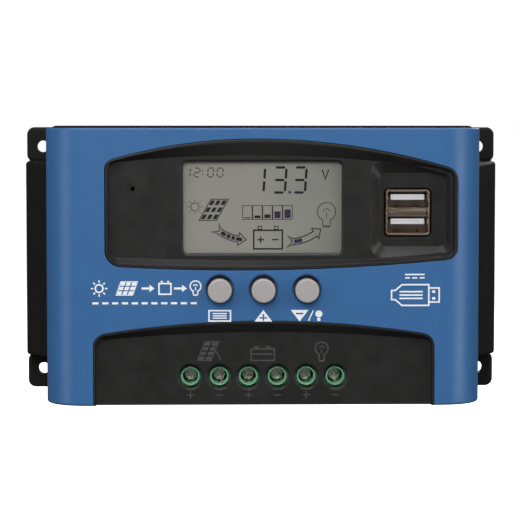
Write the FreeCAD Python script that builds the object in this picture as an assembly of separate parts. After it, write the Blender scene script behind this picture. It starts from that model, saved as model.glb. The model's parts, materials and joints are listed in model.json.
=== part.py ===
import FreeCAD, Part
import math
import os

# Wall-mounted solar charge controller: a black base tray with four corner tabs, a blue front cover,
# a recessed display bezel with two USB-A ports, three push buttons and six rising-cage screw terminals.
#
# Frame: millimetres. X runs to the right across the front, Z is up the wall, and the wall is the plane
# Y = 0. The front faces -Y. Depths are written as "h", the height above the wall, so y = -h.
# The origin is the centre of the four mounting holes, on the wall plane.

Vector = FreeCAD.Vector

# ---- driving dimensions --------------------------------------------------------------------------
BASE_HALF_W = 80.75          # half width over the mounting tabs
BASE_HALF_H = 45.0           # half height over the mounting tabs
BODY_HALF_W = 71.0           # half width of the base tray between the wings
BASE_TOP = 45.4              # top wall of the base tray
BASE_WALL = 3.0
BASE_FLOOR = 2.5
BASE_RIM_H = 24.0            # where the tray ends and the cover begins
LIP_H = 26.0                 # inner lip that locates the cover
LIP_STEP = 1.6               # how far the lip stands in from the tray's side wall
TRAY_CORNER_R = 2.0
WING_HALF_H = 33.6
WING_FLAT_H = 7.0            # the wing's outer wall stands straight up to here
TAB_T = 3.2
TAB_LENGTH = 12.0
TAB_CORNER_R = 2.6
TAB_EDGE_R = 1.1
MOUNT_X = 75.25
MOUNT_Z = 38.4
MOUNT_R = 2.0

COVER_HALF_W = 71.9
COVER_TOP = 44.5
COVER_BOTTOM = -46.4
COVER_FRONT = 45.0           # depth of the blue face above the wall
COVER_WALL = 2.2
COVER_SIDE_R = 14.0          # large rounding down both long sides
COVER_TOP_R = 0.5
COVER_EDGE_R = 0.9

SEAM = 0.12                  # gap between a trim piece and the hole that it fills
TRIM_FRONT = 44.85           # front of the two black trim pieces, a little behind the blue face
PAST = 1.0                   # how far a cut runs past the face that it opens
TOL = 1e-3

# display bezel outline: two arcs meeting at the apex, one shallow arc below
BEZEL_LEFT = -51.9
BEZEL_RIGHT = 63.4
BEZEL_APEX = (-3.0, 40.9)
BEZEL_TOP_R_LEFT = 166.0
BEZEL_TOP_R_RIGHT = 222.0
BEZEL_NADIR = (-8.0, -1.85)
BEZEL_BOTTOM_R = 690.0
BEZEL_CORNERS = (3.4, 4.6, 4.2, 5.4)     # top left, top right, bottom right, bottom left
RECESS_CORNER_R = 1.6
PLATFORM_H = 42.4            # recessed plane round the display
PLATFORM_BACK = 41.4
BEZEL_SKIRT_H = 37.6
BEZEL_SKIRT_T = 1.8
USB_FLOOR_H = 39.6
USB_FLOOR_BACK = 38.0
PINHOLE = (-42.9, 24.6, 0.75)            # x, z, radius of the indicator hole
USB_POCKET_FOOT = (38.0, 5.6, 29.8)      # left, low and high edge of the pocket round the USB sockets
USB_POCKET_RIM = (34.4, 1.4, 34.6)
LUG_T = 1.4                  # thickness of the snap lugs on the two trim pieces

LCD_LEFT = -26.5
LCD_RIGHT = 25.5
LCD_LOW = 3.6
LCD_HIGH = 33.5
LCD_CORNER_R = 1.5
LCD_CHAMFER = 0.7
GLASS_BACK_H = 38.0
WINDOW_BACK_H = 40.6

# terminal panel outline: straight sides and one arch
PANEL_HALF_W = 55.8
PANEL_BOTTOM = -46.4
PANEL_APEX_Z = -18.5
PANEL_ARCH_R = 331.0
PANEL_CORNER_R = 4.5
PANEL_FLOOR_H = 42.4
PANEL_BACK_H = 40.4
FOLD_APEX_Z = -22.4
FOLD_ARCH_R = 560.0

# push buttons
BUTTON_PITCH = 14.25
BUTTON_ROW_X = -0.25
BUTTON_HOLE_Z = -8.0
BUTTON_HOLE_R = 4.5
BUTTON_Z = -8.45
BUTTON_R = 3.9
BUTTON_BACK_H = 39.2
BUTTON_FRONT_H = 48.4
BUTTON_FLANGE_R = 4.9
BUTTON_NAMES = ("menu", "up", "down")

# screw terminals
POLES = 6
POLE_PITCH = 9.52
TERMINAL_ROW_X = -0.35
TERMINAL_Z = -37.0
PANEL_HOLE_R = 3.7
WELL_R = 2.55
COLLAR_R = 3.08
COLLAR_TOP_H = 40.7
BLOCK_TOP_H = 38.6
BLOCK_HALF_W = 29.3
BLOCK_WIRE_Z = -44.3
BLOCK_BACK_Z = -29.8
SCREW_R = 1.75
SCREW_HEAD_R = 2.3
SCREW_SEAT_H = 30.6
SCREW_HEAD_T = 2.6
SCREW_TIP_H = 23.0
SLOT_DEPTH = 1.2
FIRST_SLOT_ANGLE = 25        # degrees
SLOT_ANGLE_STEP = 47
CAGE_LOW_H = 15.4            # back of the clamp cage; it rises 4.2 mm, seven turns of a 0.6 mm pitch
CAGE_HIGH_H = 24.9
BAR_H = (21.6, 22.7)         # back and front of the fixed contact bar

# boards
MAIN_PCB_BACK = 12.0
PCB_T = 1.6
MAIN_PCB_FRONT = MAIN_PCB_BACK + PCB_T
DISPLAY_PCB_FRONT = 33.0
DISPLAY_PCB_BACK = DISPLAY_PCB_FRONT - PCB_T
USB_PCB_FRONT = 24.0
USB_PCB_BACK = USB_PCB_FRONT - PCB_T

# stacked USB-A socket
USB_X = 47.35
USB_PORTS_Z = (20.9, 12.9)
USB_PORT_W = 12.5
USB_PORT_T = 5.12
USB_SHEET = 0.4
USB_FRONT_H = 40.0
USB_CAVITY_BACK = 30.2
USB_REAR_H = 25.2            # back of the moulded block inside the shell

CASE_SCREW_X = 62.0
CASE_SCREW_Z = 37.5
BOSS_BORE_R = 3.3            # counterbore for a case screw
CASE_SCREW_SEAT_H = 17.0
PLATE = (54.8, -25.8, 33.8)  # heatsink half width, low z, high z
PLATE_BACK = 0.3
PLATE_FRONT = 3.3
PAD_T = 0.5                  # thermal pad under the power transistors
SLUG_T = 1.3                 # metal tab of a power transistor
CAPACITORS = (               # x, z, radius of each can
    (-46.0, -21.0, 8.0),
    (-46.0, -3.0, 8.0),
    (30.0, 8.0, 4.0),
    (30.0, 18.0, 4.0),
    (30.0, -2.0, 4.0),
)
CAPACITOR_HEIGHT = 15.4
INDUCTOR = (-14.0, -7.0, 22.0)           # x, z, h of the centre of the ring
HEADER = (-38.0, 12.5)       # x, z of the plug-in link between the boards
HEADER_PINS = 6
USB_PINS = (40.0, 1.9)       # x, z of the first pin under the USB board
PIN_PITCH = 2.54
PIN_HALF = 0.32

pieces = {}


# ---- drawing helpers -----------------------------------------------------------------------------
def box(x0, x1, h0, h1, z0, z1):
    """A block between two x, two depths and two z."""
    return Part.makeBox(x1 - x0, h1 - h0, z1 - z0, Vector(x0, -h1, z0))


def peg(x, z, radius, h0, h1):
    """A cylinder that stands out of the wall."""
    return Part.makeCylinder(radius, h1 - h0, Vector(x, -h0, z), Vector(0, -1, 0))


def cone(x, z, r0, r1, h0, h1):
    """A cone with radius r0 at depth h0 and r1 at h1."""
    return Part.makeCone(r0, r1, h1 - h0, Vector(x, -h0, z), Vector(0, -1, 0))


def tube(x, z, outer, inner, h0, h1):
    return peg(x, z, outer, h0, h1).cut(peg(x, z, inner, h0 - 1, h1 + 1))


def slab(wire, h0, h1):
    """A flat outline in the wall plane, raised from depth h0 to h1."""
    face = Part.Face(wire)
    face.translate(Vector(0, -h0, 0))
    return face.extrude(Vector(0, h0 - h1, 0))


def at(x, z, h=0.0):
    return Vector(x, -h, z)


def arc(a, middle, b):
    return Part.Arc(a, middle, b).toShape()


def line(a, b):
    return Part.LineSegment(a, b).toShape()


def rounded_rectangle(x0, x1, z0, z1, r, h=0.0):
    """Closed wire with four equal corner arcs, at depth h."""
    k = r * (1 - math.sqrt(0.5))
    return Part.Wire([
        line(at(x0 + r, z0, h), at(x1 - r, z0, h)),
        arc(at(x1 - r, z0, h), at(x1 - k, z0 + k, h), at(x1, z0 + r, h)),
        line(at(x1, z0 + r, h), at(x1, z1 - r, h)),
        arc(at(x1, z1 - r, h), at(x1 - k, z1 - k, h), at(x1 - r, z1, h)),
        line(at(x1 - r, z1, h), at(x0 + r, z1, h)),
        arc(at(x0 + r, z1, h), at(x0 + k, z1 - k, h), at(x0, z1 - r, h)),
        line(at(x0, z1 - r, h), at(x0, z0 + r, h)),
        arc(at(x0, z0 + r, h), at(x0 + k, z0 + k, h), at(x0 + r, z0, h)),
    ])


def rounded_block(x0, x1, h0, h1, z0, z1, r):
    return slab(rounded_rectangle(x0, x1, z0, z1, r), h0, h1)


def loft(wires):
    return Part.makeLoft(wires, True, True)


def fuse(shapes):
    first, *rest = shapes
    return first.multiFuse(rest) if rest else first


def save(name, shape):
    """Keeps a piece to be written as its own STEP file."""
    pieces[name] = shape


def circle_z(centre, radius, x, side):
    """The z of a circle at x: side +1 for its upper half, -1 for its lower half."""
    return centre[1] + side * math.sqrt(radius ** 2 - (x - centre[0]) ** 2)


def corner_arc(wall_x, inward, centre, radius, r, side):
    """Rounds the corner between the wall x = wall_x and a large circle.

    inward is +1 where the outline lies to the right of the wall. side is +1 for the circle's upper half.
    Returns the tangent point on the wall, the arc's middle, and the tangent point on the circle.
    """
    cx = wall_x + inward * r
    cz = centre[1] + side * math.sqrt((radius - r) ** 2 - (cx - centre[0]) ** 2)
    on_wall = (wall_x, cz)
    reach = radius / (radius - r)
    on_circle = (centre[0] + (cx - centre[0]) * reach, centre[1] + (cz - centre[1]) * reach)
    towards = Vector(on_wall[0] + on_circle[0] - 2 * cx, 0, on_wall[1] + on_circle[1] - 2 * cz).normalize()
    return on_wall, (cx + towards.x * r, cz + towards.z * r), on_circle


def outline_of_arcs(left, right, uppers, lower, radii, h):
    """A closed outline at depth h: two straight sides, two arcs above that meet at the apex, one arc below.

    uppers holds the left and the right upper circle, lower the lower one, each as (centre, radius). radii are
    the corners' radii: top left, top right, bottom right, bottom left.
    """
    tl = corner_arc(left, 1, *uppers[0], radii[0], 1)
    tr = corner_arc(right, -1, *uppers[1], radii[1], 1)
    br = corner_arc(right, -1, *lower, radii[2], -1)
    bl = corner_arc(left, 1, *lower, radii[3], -1)
    apex_x, nadir_x = BEZEL_APEX[0], BEZEL_NADIR[0]
    mid_left_x, mid_right_x = (tl[2][0] + apex_x) / 2, (tr[2][0] + apex_x) / 2

    def p(point):
        return at(point[0], point[1], h)

    apex = at(apex_x, circle_z(*uppers[0], apex_x, 1), h)
    mid_left = at(mid_left_x, circle_z(*uppers[0], mid_left_x, 1), h)
    mid_right = at(mid_right_x, circle_z(*uppers[1], mid_right_x, 1), h)
    nadir = at(nadir_x, circle_z(*lower, nadir_x, -1), h)
    return Part.Wire([
        line(p(bl[0]), p(tl[0])),
        arc(p(tl[0]), p(tl[1]), p(tl[2])),
        arc(p(tl[2]), mid_left, apex),
        arc(apex, mid_right, p(tr[2])),
        arc(p(tr[2]), p(tr[1]), p(tr[0])),
        line(p(tr[0]), p(br[0])),
        arc(p(br[0]), p(br[1]), p(br[2])),
        arc(p(br[2]), nadir, p(bl[2])),
        arc(p(bl[2]), p(bl[1]), p(bl[0])),
    ])


def bezel_outline(inset=0.0, h=0.0, top_inset=None):
    """The display bezel's outline, moved inward by inset, at depth h. The top can have its own inset."""
    top = inset if top_inset is None else top_inset
    apex_x, apex_z = BEZEL_APEX
    uppers = [((apex_x, apex_z - r), r - top) for r in (BEZEL_TOP_R_LEFT, BEZEL_TOP_R_RIGHT)]
    lower = ((BEZEL_NADIR[0], BEZEL_NADIR[1] + BEZEL_BOTTOM_R), BEZEL_BOTTOM_R - inset)
    radii = [max(0.8, r - inset) for r in BEZEL_CORNERS]
    return outline_of_arcs(BEZEL_LEFT + inset, BEZEL_RIGHT - inset, uppers, lower, radii, h)


def arch_outline(half_w, bottom, apex_z, arch_r, corner_r, h=0.0):
    """An outline with straight sides, a flat bottom and an arched top, at depth h."""
    centre = (0.0, apex_z - arch_r)
    left = corner_arc(-half_w, 1, centre, arch_r, corner_r, 1)
    right = corner_arc(half_w, -1, centre, arch_r, corner_r, 1)

    def p(point):
        return at(point[0], point[1], h)

    return Part.Wire([
        line(at(-half_w, bottom, h), p(left[0])),
        arc(p(left[0]), p(left[1]), p(left[2])),
        arc(p(left[2]), at(0, apex_z, h), p(right[2])),
        arc(p(right[2]), p(right[1]), p(right[0])),
        line(p(right[0]), at(half_w, bottom, h)),
        line(at(half_w, bottom, h), at(-half_w, bottom, h)),
    ])


def edges_at_depth(shape, h):
    """The shape's edges that lie wholly at depth h."""
    return [e for e in shape.Edges if abs(e.BoundBox.YMin + h) < TOL and abs(e.BoundBox.YMax + h) < TOL]


def edges_at_height(edges, z):
    """The edges that lie wholly at height z on the wall."""
    return [e for e in edges if abs(e.BoundBox.ZMin - z) < TOL and abs(e.BoundBox.ZMax - z) < TOL]


def rounded_peg(x, z, radius, h0, h1, edge_r):
    """A peg whose front edge is rounded."""
    post = peg(x, z, radius, h0, h1)
    return post.makeFillet(edge_r, edges_at_depth(post, h1))


def bored(body, cuts):
    """The body with every cut taken out of it."""
    return body.cut(fuse(cuts))


def pole_x(index):
    return TERMINAL_ROW_X + (index - (POLES - 1) / 2) * POLE_PITCH


def block_sides():
    """The left and right ends of the terminal block."""
    return TERMINAL_ROW_X - BLOCK_HALF_W, TERMINAL_ROW_X + BLOCK_HALF_W


def button_x(index):
    return BUTTON_ROW_X + (index - 1) * BUTTON_PITCH


# ---- base tray -----------------------------------------------------------------------------------
def wing(side, wall, low_h):
    """One side wing: straight at the wall, then sloping in to the tray. wall moves every face inward."""
    inner = BODY_HALF_W - 4.0
    levels = (
        (low_h, BASE_HALF_W - wall, WING_HALF_H - wall),
        (WING_FLAT_H, BASE_HALF_W - wall, WING_HALF_H - 0.3 - wall),
        (BASE_RIM_H - wall, BODY_HALF_W + 1.0 - wall, WING_HALF_H - 1.2 - wall),
    )
    wires = []
    for h, outer, half in levels:
        xs = sorted((side * inner, side * outer))
        wires.append(rounded_rectangle(xs[0], xs[1], -half, half, 1.2, h))
    return loft(wires)


def mounting_tab(side, upper):
    """A corner tab, rounded at the outer corner."""
    x0, x1 = sorted((side * (BODY_HALF_W - 6), side * BASE_HALF_W))
    z0, z1 = sorted((upper * (BASE_HALF_H - TAB_LENGTH), upper * BASE_HALF_H))
    tab = rounded_block(x0, x1, 0, TAB_T, z0, z1, TAB_CORNER_R)
    return tab.makeFillet(TAB_EDGE_R, edges_at_depth(tab, TAB_T))


def corners(x, z):
    """The four mirrored positions of one corner."""
    return [(sx * x, sz * z) for sx in (-1, 1) for sz in (-1, 1)]


def vent_slots():
    """The vent slots in the tray's top wall and at both ends of its bottom wall."""
    half_w = 1.1
    pitch = 5.0
    back, front = 6.0, 19.0
    above = [(i - 8) * pitch for i in range(17)]
    below = [side * (38.0 + pitch * i) for side in (-1, 1) for i in range(4)]
    slots = [box(x - half_w, x + half_w, back, front, BASE_TOP - 6, BASE_TOP + PAST) for x in above]
    slots += [box(x - half_w, x + half_w, back, front, -BASE_HALF_H - PAST, -BASE_HALF_H + 4)
              for x in below]
    return slots


def plate_ledges():
    """Four tongues that stand over the ends of the heatsink plate and take its screws."""
    half, low, high = PLATE
    gap, wide, tall = 0.2, 3.0, 4.0
    ledges = []
    for side in (-1, 1):
        tongue_x = sorted((side * (half - 7), side * (half + wide)))
        root_x = sorted((side * (half + gap), side * (half + wide)))
        for z in (low + 5, high - 5):
            ledges.append(box(*tongue_x, PLATE_FRONT, PLATE_FRONT + 2.4, z - tall, z + tall))
            ledges.append(box(*root_x, BASE_FLOOR - 0.5, PLATE_FRONT + 0.1, z - tall, z + tall))
    return ledges


def base_housing():
    tray = rounded_block(-BODY_HALF_W, BODY_HALF_W, 0, BASE_RIM_H, -BASE_HALF_H, BASE_TOP, TRAY_CORNER_R)
    lip_w = BODY_HALF_W - LIP_STEP
    lip_top = COVER_TOP - COVER_WALL - 0.2
    lip = rounded_block(-lip_w, lip_w, 0, LIP_H, -BASE_HALF_H + 1.2, lip_top, 1.2)
    outside = [tray, lip]
    outside += [wing(side, 0, 0) for side in (-1, 1)]
    outside += [mounting_tab(side, upper) for side in (-1, 1) for upper in (-1, 1)]
    room_w = BODY_HALF_W - BASE_WALL
    inside = [rounded_block(-room_w, room_w, BASE_FLOOR, LIP_H + PAST, -BASE_HALF_H + 2.2, lip_top - 0.8,
                            1.0)]
    inside += [wing(side, 2.0, BASE_FLOOR) for side in (-1, 1)]
    shell = bored(fuse(outside), inside)
    half, low, high = PLATE
    gap = 0.2
    left, right = block_sides()
    added = plate_ledges()
    cuts = vent_slots()
    cuts.append(box(-half - gap, half + gap, -PAST, BASE_FLOOR + PAST, low - gap, high + gap))
    cuts.append(box(left - 0.3, right + 0.3, MAIN_PCB_FRONT - 0.4, LIP_H + PAST, -BASE_HALF_H - PAST,
                    -BASE_HALF_H + 4))
    for x, z in corners(CASE_SCREW_X, CASE_SCREW_Z):
        added.append(peg(x, z, 4.4, BASE_FLOOR - 0.5, LIP_H))
        cuts.append(peg(x, z, 1.8, -PAST, LIP_H + PAST))
        cuts.append(peg(x, z, BOSS_BORE_R, -PAST, CASE_SCREW_SEAT_H))
    for x, z in corners(MOUNT_X, MOUNT_Z):
        cuts.append(peg(x, z, MOUNT_R, -PAST, TAB_T + PAST))
    for x, z in main_pcb_screws():
        added.append(peg(x, z, 3.2, BASE_FLOOR - 0.5, MAIN_PCB_BACK))
        cuts.append(peg(x, z, 1.2, BASE_FLOOR + 2, MAIN_PCB_BACK + PAST))
    for x, z in plate_screws():
        cuts.append(peg(x, z, 1.0, 0, 9))
    shell = shell.fuse(fuse(added)).removeSplitter()
    save("base_housing", bored(shell, cuts))


def main_pcb_screws():
    return [(sx * 50.0, z) for sx in (-1, 1) for z in (-39.5, 37.7)]


def heatsink_plate():
    """Aluminium plate in the tray's back window, ribbed on its wall side, with its countersunk screws."""
    half, low, high = PLATE
    rib_pitch, groove_half_w, groove_depth = 8.0, 1.6, 1.1
    sink_depth = 1.4
    plate = rounded_block(-half, half, PLATE_BACK, PLATE_FRONT, low, high, 1.0)
    cuts = []
    for x in ((i - 6) * rib_pitch for i in range(13)):
        cuts.append(box(x - groove_half_w, x + groove_half_w, PLATE_BACK - PAST, PLATE_BACK + groove_depth,
                        low + 8, high - 8))
    for x, z in plate_screws():
        cuts.append(peg(x, z, 1.5, -PAST, 5))
        cuts.append(cone(x, z, 2.9, 1.5, PLATE_BACK - 0.01, PLATE_BACK + sink_depth))
    for x, z in clamp_screws():
        cuts.append(peg(x, z, 1.25, -PAST, 5))
    save("heatsink_plate", bored(plate, cuts))
    face_h = PLATE_BACK + 0.1
    screws = []
    for x, z in plate_screws():
        head = cone(x, z, 2.75, 1.45, face_h, PLATE_BACK + sink_depth)
        shank = peg(x, z, 0.98, PLATE_BACK + 1.0, 8.0)
        screws.append(cross_recess(head.fuse(shank), x, z, face_h, 1.0, 1.5))
    save("plate_screws", Part.makeCompound(screws))


def plate_screws():
    half, low, high = PLATE
    return [(sx * (half - 3.5), z) for sx in (-1, 1) for z in (low + 5, high - 5)]


def clamp_screws():
    return [(x, 29.6) for x in (-45.0, 0.0, 45.0)]


def cross_recess(screw, x, z, face_h, depth, reach, front=False):
    """Cuts a cross for a driver into a screw head whose face is at face_h."""
    half_w = 0.3
    low, high = (face_h - depth, face_h + PAST) if front else (face_h - PAST, face_h + depth)
    across = box(x - reach, x + reach, low, high, z - half_w, z + half_w)
    upright = box(x - half_w, x + half_w, low, high, z - reach, z + reach)
    return bored(screw, [across, upright])


def pan_screw(x, z, head_r, head_t, shank_r, seat_h, tip_h, front):
    """A pan-head screw. front is True where its head faces the front of the controller."""
    way = 1 if front else -1
    head_face = seat_h + way * head_t
    head = peg(x, z, head_r, *sorted((seat_h, head_face)))
    head = head.makeFillet(head_t * 0.4, edges_at_depth(head, head_face))
    shank = peg(x, z, shank_r, *sorted((seat_h + way * 0.2, tip_h)))
    return cross_recess(head.fuse(shank), x, z, head_face, head_t * 0.6, head_r * 0.62, front)


# ---- front cover ---------------------------------------------------------------------------------
def cover_profile(inset, base_h, z):
    """The cover's cross-section: two straight sides, two large arcs and the flat face."""
    w = COVER_HALF_W - inset
    front = COVER_FRONT - inset
    r = COVER_SIDE_R - inset
    k = r * (1 - math.sqrt(0.5))

    def p(x, h):
        return Vector(x, -h, z)

    return Part.Wire([
        line(p(-w, base_h), p(-w, front - r)),
        arc(p(-w, front - r), p(-w + k, front - k), p(-w + r, front)),
        line(p(-w + r, front), p(w - r, front)),
        arc(p(w - r, front), p(w - k, front - k), p(w, front - r)),
        line(p(w, front - r), p(w, base_h)),
        line(p(w, base_h), p(-w, base_h)),
    ])


def front_cover():
    height = COVER_TOP - COVER_BOTTOM
    cover = Part.Face(cover_profile(0, BASE_RIM_H, COVER_BOTTOM)).extrude(Vector(0, 0, height))
    for end, radius in ((COVER_TOP, COVER_TOP_R), (COVER_BOTTOM, COVER_EDGE_R)):
        above_rim = [e for e in cover.Edges if e.BoundBox.YMin < -BASE_RIM_H - TOL]
        cover = cover.makeFillet(radius, edges_at_height(above_rim, end))
    room = Part.Face(cover_profile(COVER_WALL, BASE_RIM_H - PAST, COVER_BOTTOM + COVER_WALL))
    cover = cover.cut(room.extrude(Vector(0, 0, height - 2 * COVER_WALL)))
    skin_back = COVER_FRONT - COVER_WALL
    bosses = []
    cuts = []
    for x, z in corners(CASE_SCREW_X, CASE_SCREW_Z):
        bosses.append(peg(x, z, 3.6, LIP_H + 0.2, skin_back - 0.8))
        cuts.append(peg(x, z, 1.3, LIP_H, 40.0))
    for x in (button_x(i) for i in range(len(BUTTON_NAMES))):
        bosses.append(peg(x, BUTTON_HOLE_Z, BUTTON_HOLE_R + 0.9, 40.4, skin_back + 0.2))
        cuts.append(peg(x, BUTTON_HOLE_Z, BUTTON_HOLE_R, 39, COVER_FRONT + PAST))
        cuts.append(cone(x, BUTTON_HOLE_Z, BUTTON_HOLE_R, BUTTON_HOLE_R + 0.55, COVER_FRONT - 0.5,
                         COVER_FRONT + 0.05))
    for x, z in display_screws():
        bosses.append(peg(x, z, 2.6, DISPLAY_PCB_FRONT, skin_back + 0.2))
        cuts.append(peg(x, z, 0.95, DISPLAY_PCB_FRONT - PAST, 41.0))
    cuts.append(slab(bezel_outline(-SEAM), 36, COVER_FRONT + PAST))
    opening = arch_outline(PANEL_HALF_W + SEAM, PANEL_BOTTOM - 4, PANEL_APEX_Z + SEAM, PANEL_ARCH_R + SEAM,
                           PANEL_CORNER_R + SEAM)
    cuts.append(slab(opening, BASE_RIM_H - 2, COVER_FRONT + PAST))
    save("front_cover", bored(cover.fuse(fuse(bosses)).removeSplitter(), cuts))


def display_screws():
    return [(-44.0, -10.5), (30.5, -10.5)]


# ---- display bezel -------------------------------------------------------------------------------
def display_bezel():
    body = slab(bezel_outline(), BEZEL_SKIRT_H, TRIM_FRONT)
    body = body.makeFillet(0.35, edges_at_depth(body, TRIM_FRONT))
    body = body.cut(recess_above_platform())
    foot_left, foot_low, foot_high = USB_POCKET_FOOT
    rim_left, rim_low, rim_high = USB_POCKET_RIM
    usb_pocket = loft([
        rounded_rectangle(rim_left, BEZEL_RIGHT - 1.9, rim_low, rim_high, 4.2, PLATFORM_H + 0.6),
        rounded_rectangle(foot_left, BEZEL_RIGHT - 3.5, foot_low, foot_high, 2.4, USB_FLOOR_H),
    ])
    keep = slab(bezel_outline(2.3), USB_FLOOR_H - PAST, COVER_FRONT + PAST)
    body = body.cut(usb_pocket.common(keep))
    inner = bezel_outline(BEZEL_SKIRT_T)
    back_left = slab(inner, BEZEL_SKIRT_H - PAST, PLATFORM_BACK)
    back_left = back_left.common(box(-60, rim_left - 0.4, 30, 46, -10, 50))
    back_right = slab(inner, BEZEL_SKIRT_H - PAST, USB_FLOOR_BACK)
    back_right = back_right.common(box(rim_left + 2.0, 70, 30, 46, -10, 50))
    window = slab(lcd_outline(0, 0), PLATFORM_BACK - PAST, PLATFORM_H + PAST)
    flare = loft([
        lcd_outline(0, PLATFORM_H - LCD_CHAMFER),
        lcd_outline(LCD_CHAMFER, PLATFORM_H),
        lcd_outline(LCD_CHAMFER, PLATFORM_H + PAST),
    ])
    x, z, r = PINHOLE
    pinhole = peg(x, z, r, PLATFORM_BACK - PAST, PLATFORM_H + PAST)
    usb_hole = slab(usb_opening(0, 0), USB_FLOOR_BACK - PAST, USB_FLOOR_H + PAST)
    body = bored(body, [back_left, back_right, window, flare, pinhole, usb_hole, usb_opening_flare()])
    lugs = []
    for z in (10.0, 24.0):
        lugs.append(box(BEZEL_LEFT - 1.0, BEZEL_LEFT + 0.8, 41.2, 41.2 + LUG_T, z - 3, z + 3))
        lugs.append(box(BEZEL_RIGHT - 0.8, BEZEL_RIGHT + 1.0, 38.4, 38.4 + LUG_T, z - 3, z + 3))
    save("display_bezel", body.fuse(fuse(lugs)).removeSplitter())


def lcd_outline(grow, h):
    """The display window's outline, grown outward, at depth h."""
    return rounded_rectangle(LCD_LEFT - grow, LCD_RIGHT + grow, LCD_LOW - grow, LCD_HIGH + grow,
                             LCD_CORNER_R + grow, h)


def usb_opening(grow, h):
    """The outline of the hole in the bezel for the USB sockets, grown outward, at depth h."""
    half = 7.6 + grow
    low = USB_PORTS_Z[1] - USB_PORT_T / 2 - 1.45 - grow
    high = USB_PORTS_Z[0] + USB_PORT_T / 2 + 1.1 + grow
    return rounded_rectangle(USB_X - half, USB_X + half, low, high, 1.5 + grow, h)


def usb_opening_flare():
    """A small chamfer round the bezel's USB opening."""
    c = 0.4
    return loft([
        usb_opening(0, USB_FLOOR_H - c),
        usb_opening(c, USB_FLOOR_H),
        usb_opening(c, USB_FLOOR_H + 0.6),
    ])


def circle_through(a, b, c):
    """Centre and radius of the circle through three (x, z) points."""
    ax, az = a
    bx, bz = b
    cx, cz = c
    a2, b2, c2 = ax * ax + az * az, bx * bx + bz * bz, cx * cx + cz * cz
    d = 2 * (ax * (bz - cz) + bx * (cz - az) + cx * (az - bz))
    ux = (a2 * (bz - cz) + b2 * (cz - az) + c2 * (az - bz)) / d
    uz = (a2 * (cx - bx) + b2 * (ax - cx) + c2 * (bx - ax)) / d
    return (ux, uz), math.hypot(ax - ux, az - uz)


def recess_above_platform():
    """The scooped hollow in front of the display: sloped above and below, steep at the sides."""
    left, right = BEZEL_LEFT + 1.3, BEZEL_RIGHT - 1.5
    upper = circle_through((left, 33.2), (-3.0, 35.6), (right, 30.6))
    lower = circle_through((right, 2.7), (-3.0, 1.1), (left, 2.2))
    floor = outline_of_arcs(left, right, (upper, upper), lower, (RECESS_CORNER_R,) * 4, PLATFORM_H)
    return loft([bezel_outline(0.9, COVER_FRONT + 0.2, 0.45), floor])


# ---- display module ------------------------------------------------------------------------------
def display_module():
    """Window, liquid-crystal glass and light guide, stacked in front of the display board."""
    save("lcd_window", rounded_block(-28.4, 28.4, WINDOW_BACK_H, PLATFORM_BACK, 1.4, 35.2, 0.8))
    save("lcd_glass", box(-29.0, 29.0, GLASS_BACK_H, WINDOW_BACK_H - 0.2, 1.0, 36.0))
    save("lcd_backlight", rounded_block(-28.6, 28.6, DISPLAY_PCB_FRONT, GLASS_BACK_H - 0.1, 1.4, 33.4, 0.6))
    save("zebra_strip", box(-27.0, 27.0, DISPLAY_PCB_FRONT, GLASS_BACK_H, 33.7, 35.6))
    x, z = PINHOLE[:2]
    led_r, led_h = 1.5, 37.0
    led = peg(x, z, led_r, DISPLAY_PCB_FRONT, led_h).fuse(Part.makeSphere(led_r, at(x, z, led_h)))
    save("status_led", led.removeSplitter())
    board = rounded_block(-47.5, 33.6, DISPLAY_PCB_BACK, DISPLAY_PCB_FRONT, -14.0, 37.4, 1.0)
    cuts = [peg(x, z, 1.3, DISPLAY_PCB_BACK - PAST, DISPLAY_PCB_FRONT + PAST) for x, z in display_screws()]
    save("display_pcb", bored(board, cuts + header_pins()))
    save("display_screws", Part.makeCompound([
        pan_screw(x, z, 2.2, 1.5, 0.9, DISPLAY_PCB_BACK, DISPLAY_PCB_FRONT + 6, False)
        for x, z in display_screws()]))
    save("controller_chip", chip(12.0, 8.0, 10.0, 10.0, DISPLAY_PCB_BACK, -1, 8))
    x, z = HEADER
    half = HEADER_PINS * PIN_PITCH / 2 + 1.0
    shroud = box(x - half, x + half, MAIN_PCB_FRONT, 22.0, z - 1.3, z + 1.3)
    save("header_shroud", bored(shroud, header_pins()))
    save("header_pins", Part.makeCompound(header_pins()))


def chip(x, z, w, d, seat_h, way, pins):
    """A square flat chip with gull-wing leads on two sides. way is +1 for the board's front."""
    def span(a, b):
        return sorted((seat_h + way * a, seat_h + way * b))

    body = box(x - w / 2, x + w / 2, *span(0.2, 1.6), z - d / 2, z + d / 2)
    leads = []
    for i in range(pins):
        px = x + (i - (pins - 1) / 2) * w / pins
        for s in (-1, 1):
            z0, z1 = sorted((z + s * (d / 2 - 0.2), z + s * (d / 2 + 1.2)))
            leads.append(box(px - 0.2, px + 0.2, *span(0.0, 0.3), z0, z1))
    return body.fuse(fuse(leads))


def header_pins():
    """Square pins that join the main board to the display board."""
    x, z = HEADER
    first = x - (HEADER_PINS - 1) * PIN_PITCH / 2
    return [pin(first + i * PIN_PITCH, z, DISPLAY_PCB_FRONT + 1.0) for i in range(HEADER_PINS)]


def pin(x, z, top_h):
    """A square pin soldered into the main board."""
    return box(x - PIN_HALF, x + PIN_HALF, MAIN_PCB_BACK - 1.5, top_h, z - PIN_HALF, z + PIN_HALF)


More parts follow.
